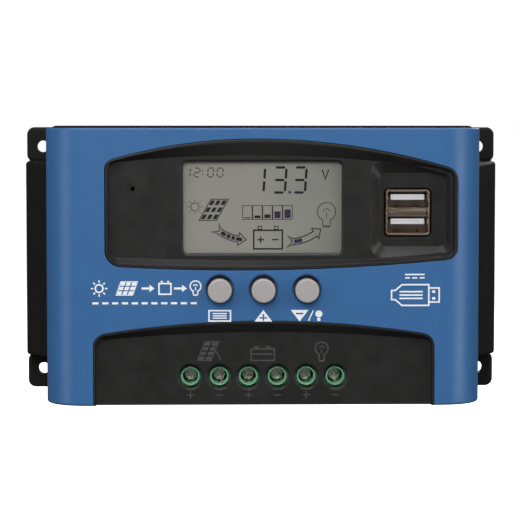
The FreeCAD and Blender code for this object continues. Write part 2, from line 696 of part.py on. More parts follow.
# ---- push buttons --------------------------------------------------------------------------------
def buttons():
    bodies = []
    for i, name in enumerate(BUTTON_NAMES):
        x = button_x(i)
        cap = rounded_peg(x, BUTTON_Z, BUTTON_R, BUTTON_BACK_H, BUTTON_FRONT_H, 0.55)
        flange = peg(x, BUTTON_Z, BUTTON_FLANGE_R, BUTTON_BACK_H, BUTTON_BACK_H + 1.1)
        save(f"button_cap_{name}", cap.fuse(flange).removeSplitter())
        save(f"switch_plunger_{name}", peg(x, BUTTON_Z, 3.4, 35.0, BUTTON_BACK_H))
        body = rounded_block(x - 6, x + 6, DISPLAY_PCB_FRONT, 36.4, BUTTON_Z - 5.2, BUTTON_Z + 6, 0.8)
        body = body.cut(peg(x, BUTTON_Z, 3.5, 34.4, 37))
        bodies.append(body)
    save("switch_bodies", Part.makeCompound(bodies))


# ---- stacked USB socket --------------------------------------------------------------------------
def usb_shell():
    """The folded steel shell round both ports, flared at its mouth, with a web and four springs."""
    half = USB_PORT_W / 2
    x0, x1 = USB_X - half - USB_SHEET, USB_X + half + USB_SHEET
    low = USB_PORTS_Z[1] - USB_PORT_T / 2
    high = USB_PORTS_Z[0] + USB_PORT_T / 2
    z0, z1 = low - USB_SHEET, high + USB_SHEET
    flare_h = USB_FRONT_H - 1.0
    shell = rounded_block(x0, x1, USB_PCB_FRONT, flare_h, z0, z1, 0.6)
    shell = shell.fuse(loft([
        rounded_rectangle(x0, x1, z0, z1, 0.6, flare_h),
        rounded_rectangle(x0 - 0.55, x1 + 0.55, z0 - 0.55, z1 + 0.4, 1.0, USB_FRONT_H),
    ]))
    cuts = [loft([
        rounded_rectangle(x0 + 0.4, x1 - 0.4, low, high, 0.4, flare_h - 0.1),
        rounded_rectangle(x0 - 0.12, x1 + 0.12, low - 0.5, high + 0.36, 0.7, USB_FRONT_H + 0.01),
    ])]
    for z in USB_PORTS_Z:
        cuts.append(port_space(z, USB_REAR_H, USB_FRONT_H))
    web = rounded_block(x0 + 0.4, x1 - 0.4, USB_FRONT_H - 2.0, USB_FRONT_H - 0.5,
                        USB_PORTS_Z[1] + USB_PORT_T / 2, USB_PORTS_Z[0] - USB_PORT_T / 2, 0.3)
    springs = [spring_finger(USB_X + side * 3.2, z - USB_PORT_T / 2)
               for z in USB_PORTS_Z for side in (-1, 1)]
    save("usb_shell", bored(shell, cuts).fuse(fuse([web] + springs)).removeSplitter())


def port_space(z, h0, h1):
    """The inside of one USB port between two depths."""
    half = USB_PORT_W / 2
    return box(USB_X - half, USB_X + half, h0, h1, z - USB_PORT_T / 2, z + USB_PORT_T / 2)


def usb_tongues():
    """The plastic tongue of each port, with its four gold contacts let into the lower face."""
    tongue_half_w, tongue_half_t = 5.55, 0.92
    contact_half_w, contact_t = 0.5, 0.2
    tongue_rise = 0.95
    tongues = []
    contacts = []
    for z in USB_PORTS_Z:
        middle = z + tongue_rise
        low = middle - tongue_half_t
        tongue = rounded_block(USB_X - tongue_half_w, USB_X + tongue_half_w, USB_CAVITY_BACK, 39.0,
                               low, middle + tongue_half_t, 0.25)
        grooves = [
            box(x - contact_half_w, x + contact_half_w, USB_CAVITY_BACK, 38.2, low, low + contact_t)
            for x in (USB_X + offset for offset in (-3.5, -1.0, 1.0, 3.5))]
        contacts += grooves
        tongues.append(bored(tongue.fuse(port_space(z, USB_REAR_H, USB_CAVITY_BACK)), grooves))
    save("usb_tongues", Part.makeCompound(tongues))
    save("usb_contacts", Part.makeCompound(contacts))


def usb_board():
    """The small board behind the USB sockets, with its pins and its coil."""
    board = rounded_block(36.5, 63.0, USB_PCB_BACK, USB_PCB_FRONT, 0.0, 33.0, 1.0)
    save("usb_pcb", bored(board, usb_pins()))
    save("usb_pins", Part.makeCompound(usb_pins()))
    save("usb_converter_coil", rounded_block(40.0, 48.5, 18.2, USB_PCB_BACK, 20.0, 28.5, 1.4))


def spring_finger(x, wall_z):
    """A thin retaining spring that rises from the port's lower wall."""
    half_w, bulge = 1.1, 0.7
    left = x - half_w
    side = Part.makePolygon([at(left, wall_z, 38.6), at(left, wall_z + bulge, 35.6), at(left, wall_z, 32.6),
                             at(left, wall_z, 38.6)])
    return Part.Face(side).extrude(Vector(2 * half_w, 0, 0))


def usb_pins():
    """Four pins that carry the USB board."""
    return [pin(USB_PINS[0] + i * PIN_PITCH, USB_PINS[1], USB_PCB_FRONT + 0.6) for i in range(4)]


# ---- terminal panel ------------------------------------------------------------------------------
def terminal_panel():
    wall = 1.8
    half = PANEL_HALF_W
    body = slab(arch_outline(half, PANEL_BOTTOM, PANEL_APEX_Z, PANEL_ARCH_R, PANEL_CORNER_R),
                BASE_RIM_H + 0.1, TRIM_FRONT)
    hollow = arch_outline(half - wall, PANEL_BOTTOM + wall, PANEL_APEX_Z - wall, PANEL_ARCH_R - wall,
                          PANEL_CORNER_R - wall)
    behind = slab(hollow, BASE_RIM_H - PAST, PANEL_BACK_H)
    above = box(-half - 1, half + 1, BASE_RIM_H - PAST, PANEL_BACK_H - 2.0, PANEL_BOTTOM + 6, 0)
    over_lip = box(-half - 1, half + 1, BASE_RIM_H - PAST, LIP_H + 0.3, PANEL_BOTTOM + wall, 0)
    scoop = loft([
        arch_outline(half - 0.5, PANEL_BOTTOM - 3, PANEL_APEX_Z - 0.5, PANEL_ARCH_R - 0.5,
                     PANEL_CORNER_R - 0.5, COVER_FRONT),
        arch_outline(half - 0.9, PANEL_BOTTOM - 3, FOLD_APEX_Z, FOLD_ARCH_R, 2.4, PANEL_FLOOR_H),
    ])
    cuts = [behind, above, over_lip, scoop]
    for x in (pole_x(i) for i in range(POLES)):
        cuts.append(peg(x, TERMINAL_Z, PANEL_HOLE_R, PANEL_BACK_H - PAST, PANEL_FLOOR_H + PAST))
        cuts.append(cone(x, TERMINAL_Z, PANEL_HOLE_R, PANEL_HOLE_R + 0.75, PANEL_FLOOR_H - 0.7,
                         PANEL_FLOOR_H + 0.05))
    body = bored(body, cuts)
    body = body.makeFillet(0.5, edges_at_height(edges_at_depth(body, PANEL_FLOOR_H), PANEL_BOTTOM))
    lugs = []
    for side in (-1, 1):
        x0, x1 = sorted((side * (half - 0.8), side * (half + 1.0)))
        lugs.append(box(x0, x1, 40.9, 42.6, -34.0, -28.0))
    save("terminal_panel", body.fuse(fuse(lugs)).removeSplitter())


# ---- terminals -----------------------------------------------------------------------------------
def contact_bar(x):
    """The fixed bar that a wire is pressed against, with its solder leg."""
    bar = box(x - 2.3, x + 2.3, *BAR_H, -41.6, -31.2)
    leg = box(x - 1.2, x + 1.2, MAIN_PCB_BACK - 1.4, BAR_H[1], -32.2, -31.2)
    return bar.fuse(leg).removeSplitter()


def terminals():
    left, right = block_sides()
    body = rounded_block(left, right, MAIN_PCB_FRONT, BLOCK_TOP_H, BLOCK_WIRE_Z, BLOCK_BACK_Z, 0.4)
    collars = [peg(pole_x(i), TERMINAL_Z, COLLAR_R, BLOCK_TOP_H - 0.5, COLLAR_TOP_H) for i in range(POLES)]
    body = body.fuse(fuse(collars)).removeSplitter()
    cuts = []
    bars = []
    for i in range(POLES):
        x = pole_x(i)
        cuts.append(box(x - 3.35, x + 3.35, 15.2, 29.6, -42.6, -31.2))
        cuts.append(peg(x, TERMINAL_Z, SCREW_R + 0.1, 29, SCREW_SEAT_H + 0.1))
        cuts.append(peg(x, TERMINAL_Z, WELL_R, SCREW_SEAT_H, COLLAR_TOP_H + 1))
        cuts.append(cone(x, TERMINAL_Z, WELL_R, WELL_R + 0.25, COLLAR_TOP_H - 0.25, COLLAR_TOP_H))
        cuts.append(box(x - 2.9, x + 2.9, 16.2, 21.9, -46, -42))
        bars.append(contact_bar(x))
        save(f"terminal_screw_{i + 1}", terminal_screw(x, i))
        save(f"clamp_cage_{i + 1}", clamp_cage(x))
    for i in range(POLES - 1):
        x = (pole_x(i) + pole_x(i + 1)) / 2
        cuts.append(box(x - 0.35, x + 0.35, 26.0, BLOCK_TOP_H + 1, BLOCK_WIRE_Z - 1, BLOCK_WIRE_Z + 0.8))
    save("terminal_block", body.cut(fuse(cuts + bars)))
    save("contact_bars", Part.makeCompound(bars))
    return bars


def terminal_screw(x, index):
    """Captive clamp screw with a slotted cheese head. Each one was left at its own angle."""
    face = SCREW_SEAT_H + SCREW_HEAD_T
    head = rounded_peg(x, TERMINAL_Z, SCREW_HEAD_R, SCREW_SEAT_H, face, 0.5)
    shank = peg(x, TERMINAL_Z, SCREW_R, SCREW_TIP_H, SCREW_SEAT_H + 0.5)
    slot = box(x - 3, x + 3, face - SLOT_DEPTH, face + PAST, TERMINAL_Z - 0.45, TERMINAL_Z + 0.45)
    cross = box(x - 0.4, x + 0.4, face - SLOT_DEPTH, face + PAST, TERMINAL_Z - 1.5, TERMINAL_Z + 1.5)
    recess = slot.fuse(cross)
    recess.rotate(at(x, TERMINAL_Z), Vector(0, 1, 0), FIRST_SLOT_ANGLE + SLOT_ANGLE_STEP * index)
    return head.fuse(shank).removeSplitter().cut(recess)


def clamp_cage(x):
    """The cage that rises as its screw turns and pulls the wire up against the contact bar."""
    half, strip = 3.2, 0.5
    cage = box(x - half, x + half, CAGE_LOW_H, CAGE_HIGH_H, -42.2, -33.2)
    mouth = box(x - half + strip, x + half - strip, CAGE_LOW_H + 1.0, CAGE_HIGH_H - 2.0, -43, -33)
    return bored(cage, [mouth, peg(x, TERMINAL_Z, SCREW_R + 0.05, CAGE_HIGH_H - 3, CAGE_HIGH_H + PAST)])


# ---- power board ---------------------------------------------------------------------------------
def mosfets():
    """Six flat power transistors on the heatsink, with leads bent up into the main board."""
    pitch, half_w, lead_half_w = 15.0, 5.0, 0.4
    slug_h = PLATE_FRONT + PAD_T
    body_h = slug_h + SLUG_T
    lead_h = slug_h + 2.0
    bodies = []
    leads = []
    for x in ((i - 2.5) * pitch for i in range(6)):
        slug = box(x - half_w, x + half_w, slug_h, body_h, 13.0, 27.6).cut(peg(x, 24.9, 1.8, 0, 9))
        bodies.append(box(x - half_w, x + half_w, body_h, body_h + 3.1, 13.0, 21.6).fuse(slug))
        for k in (-PIN_PITCH, 0, PIN_PITCH):
            flat = box(x + k - lead_half_w, x + k + lead_half_w, lead_h, lead_h + 0.5, 10.6, 13.0)
            rise = box(x + k - lead_half_w, x + k + lead_half_w, lead_h, MAIN_PCB_FRONT + 0.9, 10.1, 10.6)
            leads.append(flat.fuse(rise).removeSplitter())
    save("power_mosfets", Part.makeCompound(bodies))
    save("mosfet_leads", Part.makeCompound(leads))
    return leads


def mosfet_clamp():
    """The thermal pad under the transistors and the bar that presses their tabs to the plate."""
    pad = box(-44.0, 44.0, PLATE_FRONT, PLATE_FRONT + PAD_T, 12.0, 28.4)
    save("thermal_pad", bored(pad, [peg(x, z, 2.0, 0, 9) for x, z in clamp_screws()]))
    bar_h = PLATE_FRONT + PAD_T + SLUG_T
    bar_front = bar_h + 1.5
    bar = box(-47.0, 47.0, bar_h, bar_front, 27.0, 32.0)
    bar = bar.fuse(box(-47.0, 47.0, PLATE_FRONT, bar_front, 30.9, 32.0)).removeSplitter()
    save("clamp_bar", bored(bar, [peg(x, z, 1.5, 0, 12) for x, z in clamp_screws()]))
    save("clamp_screws", Part.makeCompound([
        pan_screw(x, z, 2.4, 1.7, 1.24, bar_front, PLATE_BACK + 1.2, True) for x, z in clamp_screws()]))


def power_board(bars, leads):
    board = rounded_block(-57.0, 57.0, MAIN_PCB_BACK, MAIN_PCB_FRONT, -42.4, 41.0, 1.5)
    cuts = [peg(x, z, 1.7, 11, 15) for x, z in main_pcb_screws()]
    save("main_pcb", board.cut(fuse(cuts + bars + leads + header_pins() + usb_pins())))
    save("main_pcb_screws", Part.makeCompound([
        pan_screw(x, z, 2.8, 1.9, 1.18, MAIN_PCB_FRONT, MAIN_PCB_BACK - 7, True)
        for x, z in main_pcb_screws()]))
    inductor()
    cans = []
    sleeves = []
    for x, z, r in CAPACITORS:
        can, sleeve = capacitor(x, z, r, CAPACITOR_HEIGHT)
        cans.append(can)
        sleeves.append(sleeve)
    save("capacitor_cans", Part.makeCompound(cans))
    save("capacitor_sleeves", Part.makeCompound(sleeves))
    fuse_body = rounded_block(4.0, 23.0, MAIN_PCB_FRONT, 25.5, -24.5, -19.5, 0.6)
    save("blade_fuse", fuse_body.cut(box(6.0, 21.0, 24.6, 26, -23.4, -20.6)))
    save("driver_chip", chip(8.0, 29.0, 10.0, 6.0, MAIN_PCB_FRONT, 1, 8))


def inductor():
    """Powdered-iron toroid wound with heavy enamelled wire, glued to a thin seat."""
    x, z, mid_h = INDUCTOR
    ring_r, core_r, wire_r = 10.0, 3.9, 0.62
    turns, wound_share = 22, 0.93
    save("inductor_core", Part.makeTorus(ring_r, core_r, at(x, z, mid_h), Vector(0, -1, 0)))
    rings = []
    for i in range(turns):
        angle = 2 * math.pi * (i + 0.5) / turns * wound_share
        centre = at(x + ring_r * math.cos(angle), z + ring_r * math.sin(angle), mid_h)
        tangent = Vector(-math.sin(angle), 0, math.cos(angle))
        rings.append(Part.makeTorus(core_r + wire_r + 0.1, wire_r, centre, tangent))
    save("inductor_winding", Part.makeCompound(rings))
    half = 15.5
    seat = rounded_block(x - half, x + half, MAIN_PCB_FRONT, 15.2, z - half, z + half, 3.0)
    save("inductor_seat", seat.fuse(tube(x, z, 3.6, 2.2, 15.0, 24.0)).removeSplitter())


def capacitor(x, z, r, height):
    """An upright can with a scored top, and its sleeve."""
    top = MAIN_PCB_FRONT + height
    sleeve_t, score_half_w, score_depth = 0.25, 0.2, 0.25
    reach = r * 0.6
    can = rounded_peg(x, z, r - sleeve_t, MAIN_PCB_FRONT + 0.3, top, 0.8)
    across = box(x - reach, x + reach, top - score_depth, top + PAST, z - score_half_w, z + score_half_w)
    upright = box(x - score_half_w, x + score_half_w, top - score_depth, top + PAST, z - reach, z + reach)
    return bored(can, [across, upright]), tube(x, z, r, r - sleeve_t, MAIN_PCB_FRONT, top - 1.0)


def case_screws():
    save("case_screws", Part.makeCompound([
        pan_screw(x, z, BOSS_BORE_R - 0.3, 2.0, 1.28, CASE_SCREW_SEAT_H, 37.0, False)
        for x, z in corners(CASE_SCREW_X, CASE_SCREW_Z)]))


def build():
    base_housing()
    heatsink_plate()
    front_cover()
    display_bezel()
    display_module()
    buttons()
    usb_shell()
    usb_tongues()
    usb_board()
    terminal_panel()
    bars = terminals()
    leads = mosfets()
    mosfet_clamp()
    power_board(bars, leads)
    case_screws()
    os.makedirs("parts", exist_ok=True)
    for name, shape in pieces.items():
        solids = shape.Solids
        assert solids and all(s.isValid() for s in solids), name
        shape.exportStep(f"parts/{name}.step")
    print(len(pieces), "pieces")


build()
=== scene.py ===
import json
import math

import bmesh
import bpy
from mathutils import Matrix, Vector

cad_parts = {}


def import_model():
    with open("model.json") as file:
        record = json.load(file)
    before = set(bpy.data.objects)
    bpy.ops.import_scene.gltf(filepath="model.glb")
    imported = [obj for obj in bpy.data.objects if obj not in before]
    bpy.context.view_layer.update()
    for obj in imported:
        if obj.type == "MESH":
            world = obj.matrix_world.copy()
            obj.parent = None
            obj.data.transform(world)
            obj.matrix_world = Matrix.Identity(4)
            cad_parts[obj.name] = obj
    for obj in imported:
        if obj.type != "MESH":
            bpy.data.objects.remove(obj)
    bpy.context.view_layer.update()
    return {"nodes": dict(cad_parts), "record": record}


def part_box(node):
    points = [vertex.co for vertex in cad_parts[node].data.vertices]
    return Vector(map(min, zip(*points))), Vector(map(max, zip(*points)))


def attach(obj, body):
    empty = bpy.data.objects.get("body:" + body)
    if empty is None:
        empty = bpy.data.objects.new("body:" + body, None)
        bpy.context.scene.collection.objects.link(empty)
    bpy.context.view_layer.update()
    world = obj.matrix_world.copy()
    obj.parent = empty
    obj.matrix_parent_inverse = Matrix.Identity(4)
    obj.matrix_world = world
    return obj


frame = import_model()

# Looks for the wall-mounted solar charge controller. Metres, in the CAD frame: +X right, +Z up
# the wall, and the front faces -Y. Positions come from the CAD nodes' boxes. Flat marks are drawn
# in millimetres, as (x, z) pairs.

MM = 0.001
CASE = "case"
PANEL_DROP = 2.6  # the terminal panel lies this far behind the front of the cover (millimetres)
INK_HEIGHT = 0.035  # ink stands this far out of its surface, and starts this far inside it
INK_DEPTH = 0.004


def node_box(name):
    """A node's low and high corners, in millimetres."""
    low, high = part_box(name)
    return Vector(low) / MM, Vector(high) / MM


def centre(name):
    low, high = node_box(name)
    return (low + high) / 2


# ---- flat shapes, in millimetres ----------------------------------------------------------
# A strip is a list of (left, right) point pairs. Each shape is one strip, or a list of them.
RING_STEPS = 40
DISC_STEPS = 20
SHARPEST_MITRE = 0.5  # the cosine at which a corner's mitre stops growing


def point_at(cx, cz, radius, angle):
    """The point on a circle at an angle in degrees."""
    return cx + radius * math.cos(math.radians(angle)), cz + radius * math.sin(math.radians(angle))


def arc(cx, cz, radius, start, sweep, steps):
    """Points on an arc, both ends included."""
    return [point_at(cx, cz, radius, start + sweep * i / steps) for i in range(steps + 1)]


def stroke(points, width, closed=False):
    """A line of even width, with mitred corners."""
    count = len(points)
    pairs = []
    for i, (x, z) in enumerate(points):
        before = points[i - 1] if closed or i else points[i]
        after = points[(i + 1) % count] if closed or i < count - 1 else points[i]
        ways = [Vector((x - before[0], z - before[1])), Vector((after[0] - x, after[1] - z))]
        ways = [way.normalized() for way in ways if way.length > 1e-9]
        along = (ways[0] + ways[-1]).normalized()
        reach = width / 2 / max(SHARPEST_MITRE, along.dot(ways[0]))
        side = Vector((-along.y, along.x)) * reach
        pairs.append(((x + side.x, z + side.y), (x - side.x, z - side.y)))
    if closed:
        pairs.append(pairs[0])
    return pairs


def ring(cx, cz, radius, width):
    last = RING_STEPS - 1
    return stroke(arc(cx, cz, radius, 0, 360 * last / RING_STEPS, last), width, closed=True)


def disc(cx, cz, radius):
    """A filled circle, as a strip between its left and right halves."""
    heights = [math.radians(-90 + 180 * i / DISC_STEPS) for i in range(DISC_STEPS + 1)]
    return [((cx - radius * math.cos(a), cz + radius * math.sin(a)),
             (cx + radius * math.cos(a), cz + radius * math.sin(a))) for a in heights]


def tile(x0, x1, z0, z1):
    """A filled rectangle."""
    return [((x0, z0), (x1, z0)), ((x0, z1), (x1, z1))]


def frame_of(x0, x1, z0, z1, width):
    """A rectangular outline."""
    return stroke([(x0, z0), (x1, z0), (x1, z1), (x0, z1)], width, closed=True)


def plus(x, z, arm, width):
    """A plus sign as three patches that don't overlap."""
    half = width / 2
    return [tile(x - arm, x + arm, z - half, z + half),
            tile(x - half, x + half, z + half, z + arm),
            tile(x - half, x + half, z - arm, z - half)]


def minus(x, z, arm, width):
    return [tile(x - arm, x + arm, z - width / 2, z + width / 2)]


def sun(x, z, radius, width, rays, ray_width):
    """A ring with eight rays. rays is the pair of radii between which they run."""
    near, far = rays
    strips = [ring(x, z, radius, width)]
    for i in range(8):
        angle = 45 * i
        strips.append(stroke([point_at(x, z, near, angle), point_at(x, z, far, angle)], ray_width))
    return strips


def bulb(x, z, radius, width, foot):
    """A lamp outline: an open circle that runs down into a narrow neck, over a filled cap."""
    neck = radius * 0.42
    open_angle = math.degrees(math.asin(neck / radius))
    glass = arc(x, z, radius, -90 + open_angle, 360 - 2 * open_angle, 36)
    base = z - foot
    outline = [(x + neck, base + foot * 0.14)] + glass + [(x - neck, base + foot * 0.14)]
    stem = [(x, z - radius * 0.75), (x, z - radius * 0.1)]
    filament = arc(x, z - radius * 0.1, radius * 0.42, 20, 140, 12)
    return [stroke(outline, width), tile(x - neck, x + neck, base, base + foot * 0.13),
            stroke(stem, width * 0.8), stroke(filament, width * 0.8)]


def solar_panel(x, z, width, height, lean, rows, columns, gap):
    """A leaning frame filled with cells. gap is the share of a cell left open on each side."""
    corners = [(x, z), (x + width, z), (x + width + lean, z + height), (x + lean, z + height)]
    strips = [stroke(corners, 0.28, closed=True)]
    for row in range(rows):
        z0 = z + height * (row + gap) / rows
        z1 = z + height * (row + 1 - gap) / rows
        shift0, shift1 = lean * (z0 - z) / height, lean * (z1 - z) / height
        for column in range(columns):
            x0 = x + width * (column + gap) / columns
            x1 = x + width * (column + 1 - gap) / columns
            strips.append([((x0 + shift0, z0), (x1 + shift0, z0)),
                           ((x0 + shift1, z1), (x1 + shift1, z1))])
    return strips


def curved_arrow(cx, cz, radius, start, sweep, blocks):
    """An outlined arrow along an arc, with a swallow tail and some of its length filled.

    blocks are (from, to) shares of the shaft. Returns the outline's strips and the blocks' strips.
    """
    half, head_half, head_sweep, steps = 1.0, 2.1, 9.5, 12
    tail_flare, tail_sweep, notch_sweep, margin = 0.9, 4, 3, 0.4
    shaft = sweep - head_sweep
    neck = start + sweep - head_sweep
    inner = arc(cx, cz, radius - half, start, shaft, steps)
    outer = arc(cx, cz, radius + half, start, shaft, steps)
    tail_in = point_at(cx, cz, radius - half - tail_flare, start - tail_sweep)
    tail_out = point_at(cx, cz, radius + half + tail_flare, start - tail_sweep)
    notch = point_at(cx, cz, radius, start + notch_sweep)
    head = [point_at(cx, cz, radius - head_half, neck), point_at(cx, cz, radius, start + sweep),
            point_at(cx, cz, radius + head_half, neck)]
    edge = [notch, tail_in] + inner[1:] + head + outer[:0:-1] + [tail_out]
    fills = []
    for begin, end in blocks:
        span = (start + shaft * begin, shaft * (end - begin), 5)
        fills.append(list(zip(arc(cx, cz, radius - half + margin, *span),
                              arc(cx, cz, radius + half - margin, *span))))
    return [stroke(edge, 0.34, closed=True)], fills


def triangle_with(x, z, way):
    """A solid triangle: up (way 1) with an open plus in it, or down (way -1) with an open minus."""
    half, tall, cut = 2.9, 3.8, 0.25
    base, tip = z - way * tall / 2, z + way * tall / 2
    bar = z - way * 0.7
    below, above = bar - way * cut, bar + way * cut

    def band(z0, z1, gap):
        """The part between two heights, whole or on either side of a gap."""
        rows = [(level, half * abs(tip - level) / tall) for level in (z0, z1)]
        if not gap:
            return [[((x - w, level), (x + w, level)) for level, w in rows]]
        return [[((x - w, level), (x - min(w, gap), level)) for level, w in rows],
                [((x + min(w, gap), level), (x + w, level)) for level, w in rows]]

    if way > 0:
        arm = 1.25
        foot, top = bar - (abs(bar - base) - 0.25), bar + arm
        bands = ((base, foot, 0), (foot, below, cut), (below, above, arm), (above, top, cut), (top, tip, 0))
    else:
        bands = ((base, below, 0), (below, above, 1.2), (above, tip, 0))
    return [strip for limits in bands for strip in band(*limits)]


def add_strip(mesh, pairs, back, front):
    """Adds one strip to a bmesh as a closed solid between two depths (y, metres)."""
    looped = len(pairs) > 2 and pairs[0] == pairs[-1]
    rows = pairs[:-1] if looped else pairs

    def corner(point, y):
        return mesh.verts.new((point[0] * MM, y, point[1] * MM))

    sections = []
    for left, right in rows:
        narrow = math.dist(left, right) < 1e-6
        lf, lb = corner(left, front), corner(left, back)
        rf, rb = (lf, lb) if narrow else (corner(right, front), corner(right, back))
        sections.append((lf, rf, rb, lb))
    steps = list(zip(sections, sections[1:]))
    if looped:
        steps.append((sections[-1], sections[0]))
    for a, b in steps:
        for i in range(4):
            k = (i + 1) % 4
            corners = []
            for vertex in (a[i], a[k], b[k], b[i]):
                if vertex not in corners:
                    corners.append(vertex)
            if len(corners) > 2:
                mesh.faces.new(corners)
    if not looped:
        for section in (sections[0], sections[-1]):
            if len(set(section)) == 4:
                mesh.faces.new(section)


def printed(name, strips, surface_y, look):
    """Makes thin raised ink from strips, standing in front of a surface at surface_y."""
    mesh = bmesh.new()
    for pairs in strips:
        add_strip(mesh, pairs, (surface_y + INK_DEPTH) * MM, (surface_y - INK_HEIGHT) * MM)
    bmesh.ops.recalc_face_normals(mesh, faces=mesh.faces)
    data = bpy.data.meshes.new(name)
    mesh.to_mesh(data)
    mesh.free()
    piece = bpy.data.objects.new(name, data)
    bpy.context.scene.collection.objects.link(piece)
    data.materials.append(look)
    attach(piece, CASE)


# ---- materials ----------------------------------------------------------------------------
AS_IS = (1, 1, 1)
WAVE_FACTOR = 3.1416


class Look:
    """A procedural material. Its textures follow the object's coordinates. Sizes are in mm."""

    def __init__(self, name, color, roughness, metallic=0.0, **sockets):
        self.material = bpy.data.materials.new(name)
        self.material.use_nodes = True
        self.tree = self.material.node_tree
        self.shader = self.tree.nodes["Principled BSDF"]
        self.color = color
        self.roughness = roughness
        self.shader.inputs["Base Color"].default_value = (*color, 1.0)
        self.shader.inputs["Roughness"].default_value = roughness
        self.shader.inputs["Metallic"].default_value = metallic
        for socket, value in sockets.items():
            self.shader.inputs[socket.replace("_", " ")].default_value = value
        self.place = self.node("TexCoord").outputs["Object"]
        self.normal = None

    def node(self, kind):
        return self.tree.nodes.new("ShaderNode" + kind)

    def link(self, start, end):
        self.tree.links.new(start, end)

    def product(self, a, b):
        """Multiplies a value by another value, or by a number."""
        node = self.node("Math")
        node.operation = "MULTIPLY"
        self.link(a, node.inputs[0])
        if isinstance(b, float):
            node.inputs[1].default_value = b
        else:
            self.link(b, node.inputs[1])
        return node.outputs["Value"]

    def where(self, stretch):
        """The object's coordinates, squeezed by a factor along each axis."""
        if stretch == AS_IS:
            return self.place
        mapping = self.node("Mapping")
        mapping.inputs["Scale"].default_value = stretch
        self.link(self.place, mapping.inputs["Vector"])
        return mapping.outputs["Vector"]

    def noise(self, size, detail=2.0, stretch=AS_IS, rough=0.5):
        node = self.node("TexNoise")
        node.inputs["Scale"].default_value = 1 / (size * MM)
        node.inputs["Detail"].default_value = detail
        node.inputs["Roughness"].default_value = rough
        self.link(self.where(stretch), node.inputs["Vector"])
        return node.outputs["Fac"]

    def cells(self, size):
        node = self.node("TexVoronoi")
        node.inputs["Scale"].default_value = 1 / (size * MM)
        self.link(self.place, node.inputs["Vector"])
        return node.outputs["Distance"]

    def waves(self, size, axis, distortion=0.0):
        node = self.node("TexWave")
        node.bands_direction = axis
        node.inputs["Scale"].default_value = 1 / (size * MM) / WAVE_FACTOR
        node.inputs["Distortion"].default_value = distortion
        self.link(self.place, node.inputs["Vector"])
        return node.outputs["Fac"]

    def remap(self, value, low, high, out_low=0.0, out_high=1.0):
        node = self.node("MapRange")
        ends = {"From Min": low, "From Max": high, "To Min": out_low, "To Max": out_high}
        for socket, number in ends.items():
            node.inputs[socket].default_value = number
        self.link(value, node.inputs["Value"])
        return node.outputs["Result"]

    def tint(self, amount, color):
        """Mixes another colour over the base colour where amount is high."""
        node = self.node("Mix")
        node.data_type = "RGBA"
        factor, under, over, result = node.inputs[0], node.inputs[6], node.inputs[7], node.outputs[2]
        socket = self.shader.inputs["Base Color"]
        if socket.is_linked:
            self.link(socket.links[0].from_socket, under)
        else:
            under.default_value = (*self.color, 1.0)
        over.default_value = (*color, 1.0)
        self.link(amount, factor)
        self.link(result, socket)

    def uneven_sheen(self, value, spread):
        """Lets the roughness wander by spread either way."""
        rough = self.remap(value, 0.3, 0.7, self.roughness - spread, self.roughness + spread)
        self.link(rough, self.shader.inputs["Roughness"])

    def bevel(self, radius):
        node = self.node("Bevel")
        node.samples = 4
        node.inputs["Radius"].default_value = radius * MM
        return node.outputs["Normal"]

    def use_normal(self, normal):
        self.normal = normal
        self.link(normal, self.shader.inputs["Normal"])

    def soften(self, radius):
        """Rounds sharp edges in the shading."""
        self.use_normal(self.bevel(radius))

    def relief(self, height, depth, strength=1.0):
        """Raises the surface by depth where height is high."""
        node = self.node("Bump")
        node.inputs["Strength"].default_value = strength
        node.inputs["Distance"].default_value = depth * MM
        self.link(height, node.inputs["Height"])
        if self.normal:
            self.link(self.normal, node.inputs["Normal"])
        self.use_normal(node.outputs["Normal"])

    def edge_mask(self, radius):
        """Near 1 along convex or concave edges, broken up by a little noise."""
        rounded = self.bevel(radius)
        flat = self.node("NewGeometry")
        dot = self.node("VectorMath")
        dot.operation = "DOT_PRODUCT"
        self.link(rounded, dot.inputs[0])
        self.link(flat.outputs["Normal"], dot.inputs[1])
        edge = self.remap(dot.outputs["Value"], 0.98, 0.80)
        patchy = self.remap(self.noise(2.5, 3.0), 0.42, 0.62)
        return self.product(edge, patchy)


def shade(color, factor):
    return tuple(min(1.0, c * factor) for c in color)


def moulded(name, color, roughness, grain=0.28, depth=0.012, wear=0.0, edge=0.2, **sockets):
    """Injection-moulded plastic: spark-eroded grain, slight mottling, flow marks and edge wear."""
    look = Look(name, color, roughness, **sockets)
    look.soften(edge)
    fine = look.noise(grain, 3.0)
    look.relief(fine, depth)
    look.relief(look.noise(14.0, 1.0), 0.05, 0.3)
    look.tint(look.remap(look.noise(9.0, 3.0), 0.35, 0.75, 0.0, 0.3), shade(color, 1.16))
    look.tint(look.remap(fine, 0.52, 0.78, 0.0, 0.35), shade(color, 0.78))
    look.uneven_sheen(look.noise(5.0, 4.0), 0.05)
    if wear:
        rubbed = tuple(min(1, c * 1.5 + 0.05) for c in color)
        look.tint(look.product(look.edge_mask(0.35), wear), rubbed)
    return look.material


def smooth_plastic(name, color, roughness):
    """Glossy moulding with faint ripples, dust specks and hairline scratches."""
    look = Look(name, color, roughness)
    look.soften(0.12)
    look.relief(look.noise(3.5, 1.5), 0.01, 0.5)
    look.relief(look.noise(0.5, 2.0, (0.06, 1, 1)), 0.002, 0.5)
    look.tint(look.remap(look.noise(6.0, 3.0), 0.35, 0.75, 0.0, 0.35), shade(color, 0.86))
    dusty = tuple(min(1.0, c + 0.08) for c in color)
    look.tint(look.remap(look.cells(0.9), 0.1, 0.03, 0.0, 0.3), dusty)
    look.uneven_sheen(look.noise(2.0, 4.0), 0.06)
    return look.material


